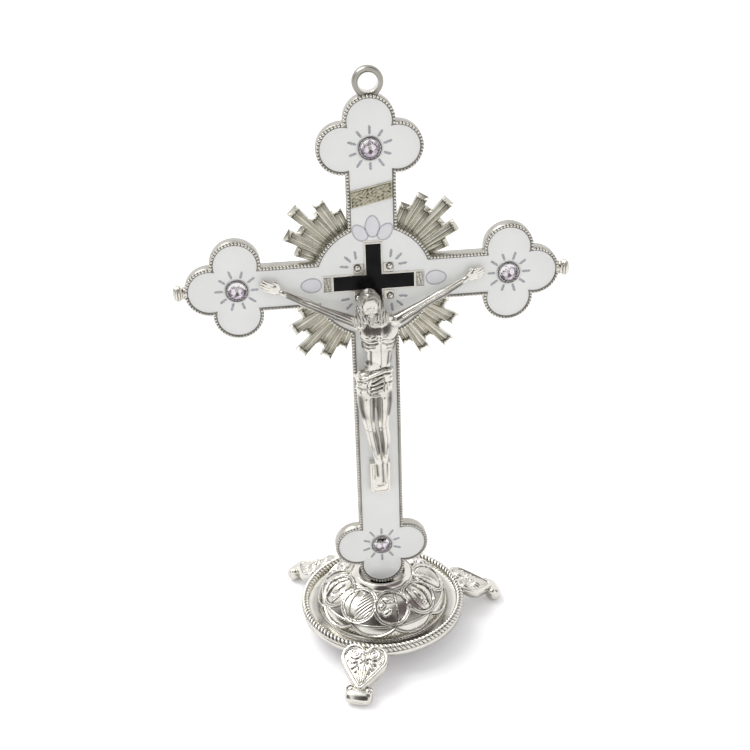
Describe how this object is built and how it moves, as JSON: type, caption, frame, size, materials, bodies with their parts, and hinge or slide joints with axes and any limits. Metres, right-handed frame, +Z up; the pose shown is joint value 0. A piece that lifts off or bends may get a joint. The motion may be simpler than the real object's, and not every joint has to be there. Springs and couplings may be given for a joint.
{
  "type": "standing table crucifix",
  "caption": "Standing table crucifix: a trefoil-ended enamelled metal cross with cut stones, a burst of rays and a cast figure, screwed to a domed base on scrolled feet.",
  "frame": {"origin": "on the base's axis, at the height of the table that the feet stand on", "axes": "+Z up along the post, -Y the way the figure faces, +X to the right of a viewer who faces the figure"},
  "size_m": [0.106, 0.069, 0.1729],
  "materials": {
    "silver_plate": "bright silver plate, darkened in the hollows",
    "warm_plate": "satin, slightly yellowed plate",
    "white_enamel": "glossy white enamel",
    "black_enamel": "glossy black enamel",
    "lilac_enamel": "glossy grey-lilac enamel",
    "clear_stone": "cut clear glass, foiled at the back",
    "bare_steel": "bare steel"
  },
  "bodies": {
    "root": {"cross_casting": "silver_plate", "hanging_eye": "silver_plate", "ray_burst": "silver_plate", "corpus": "silver_plate", "footrest": "silver_plate", "left_hand_nail": "silver_plate", "right_hand_nail": "silver_plate", "foot_nail": "silver_plate", "base_dome": "silver_plate", "rope_rim": "silver_plate", "front_foot": "silver_plate", "right_foot": "silver_plate", "left_foot": "silver_plate", "white_enamel": "white_enamel", "black_enamel_cross": "black_enamel", "petal_enamel": "lilac_enamel", "title_plate": "warm_plate", "top_stone": "clear_stone", "left_stone": "clear_stone", "right_stone": "clear_stone", "lower_stone": "clear_stone", "foot_stud": "bare_steel", "clamp_washer": "bare_steel", "clamp_nut": "bare_steel"}
  },
  "joints": []
}
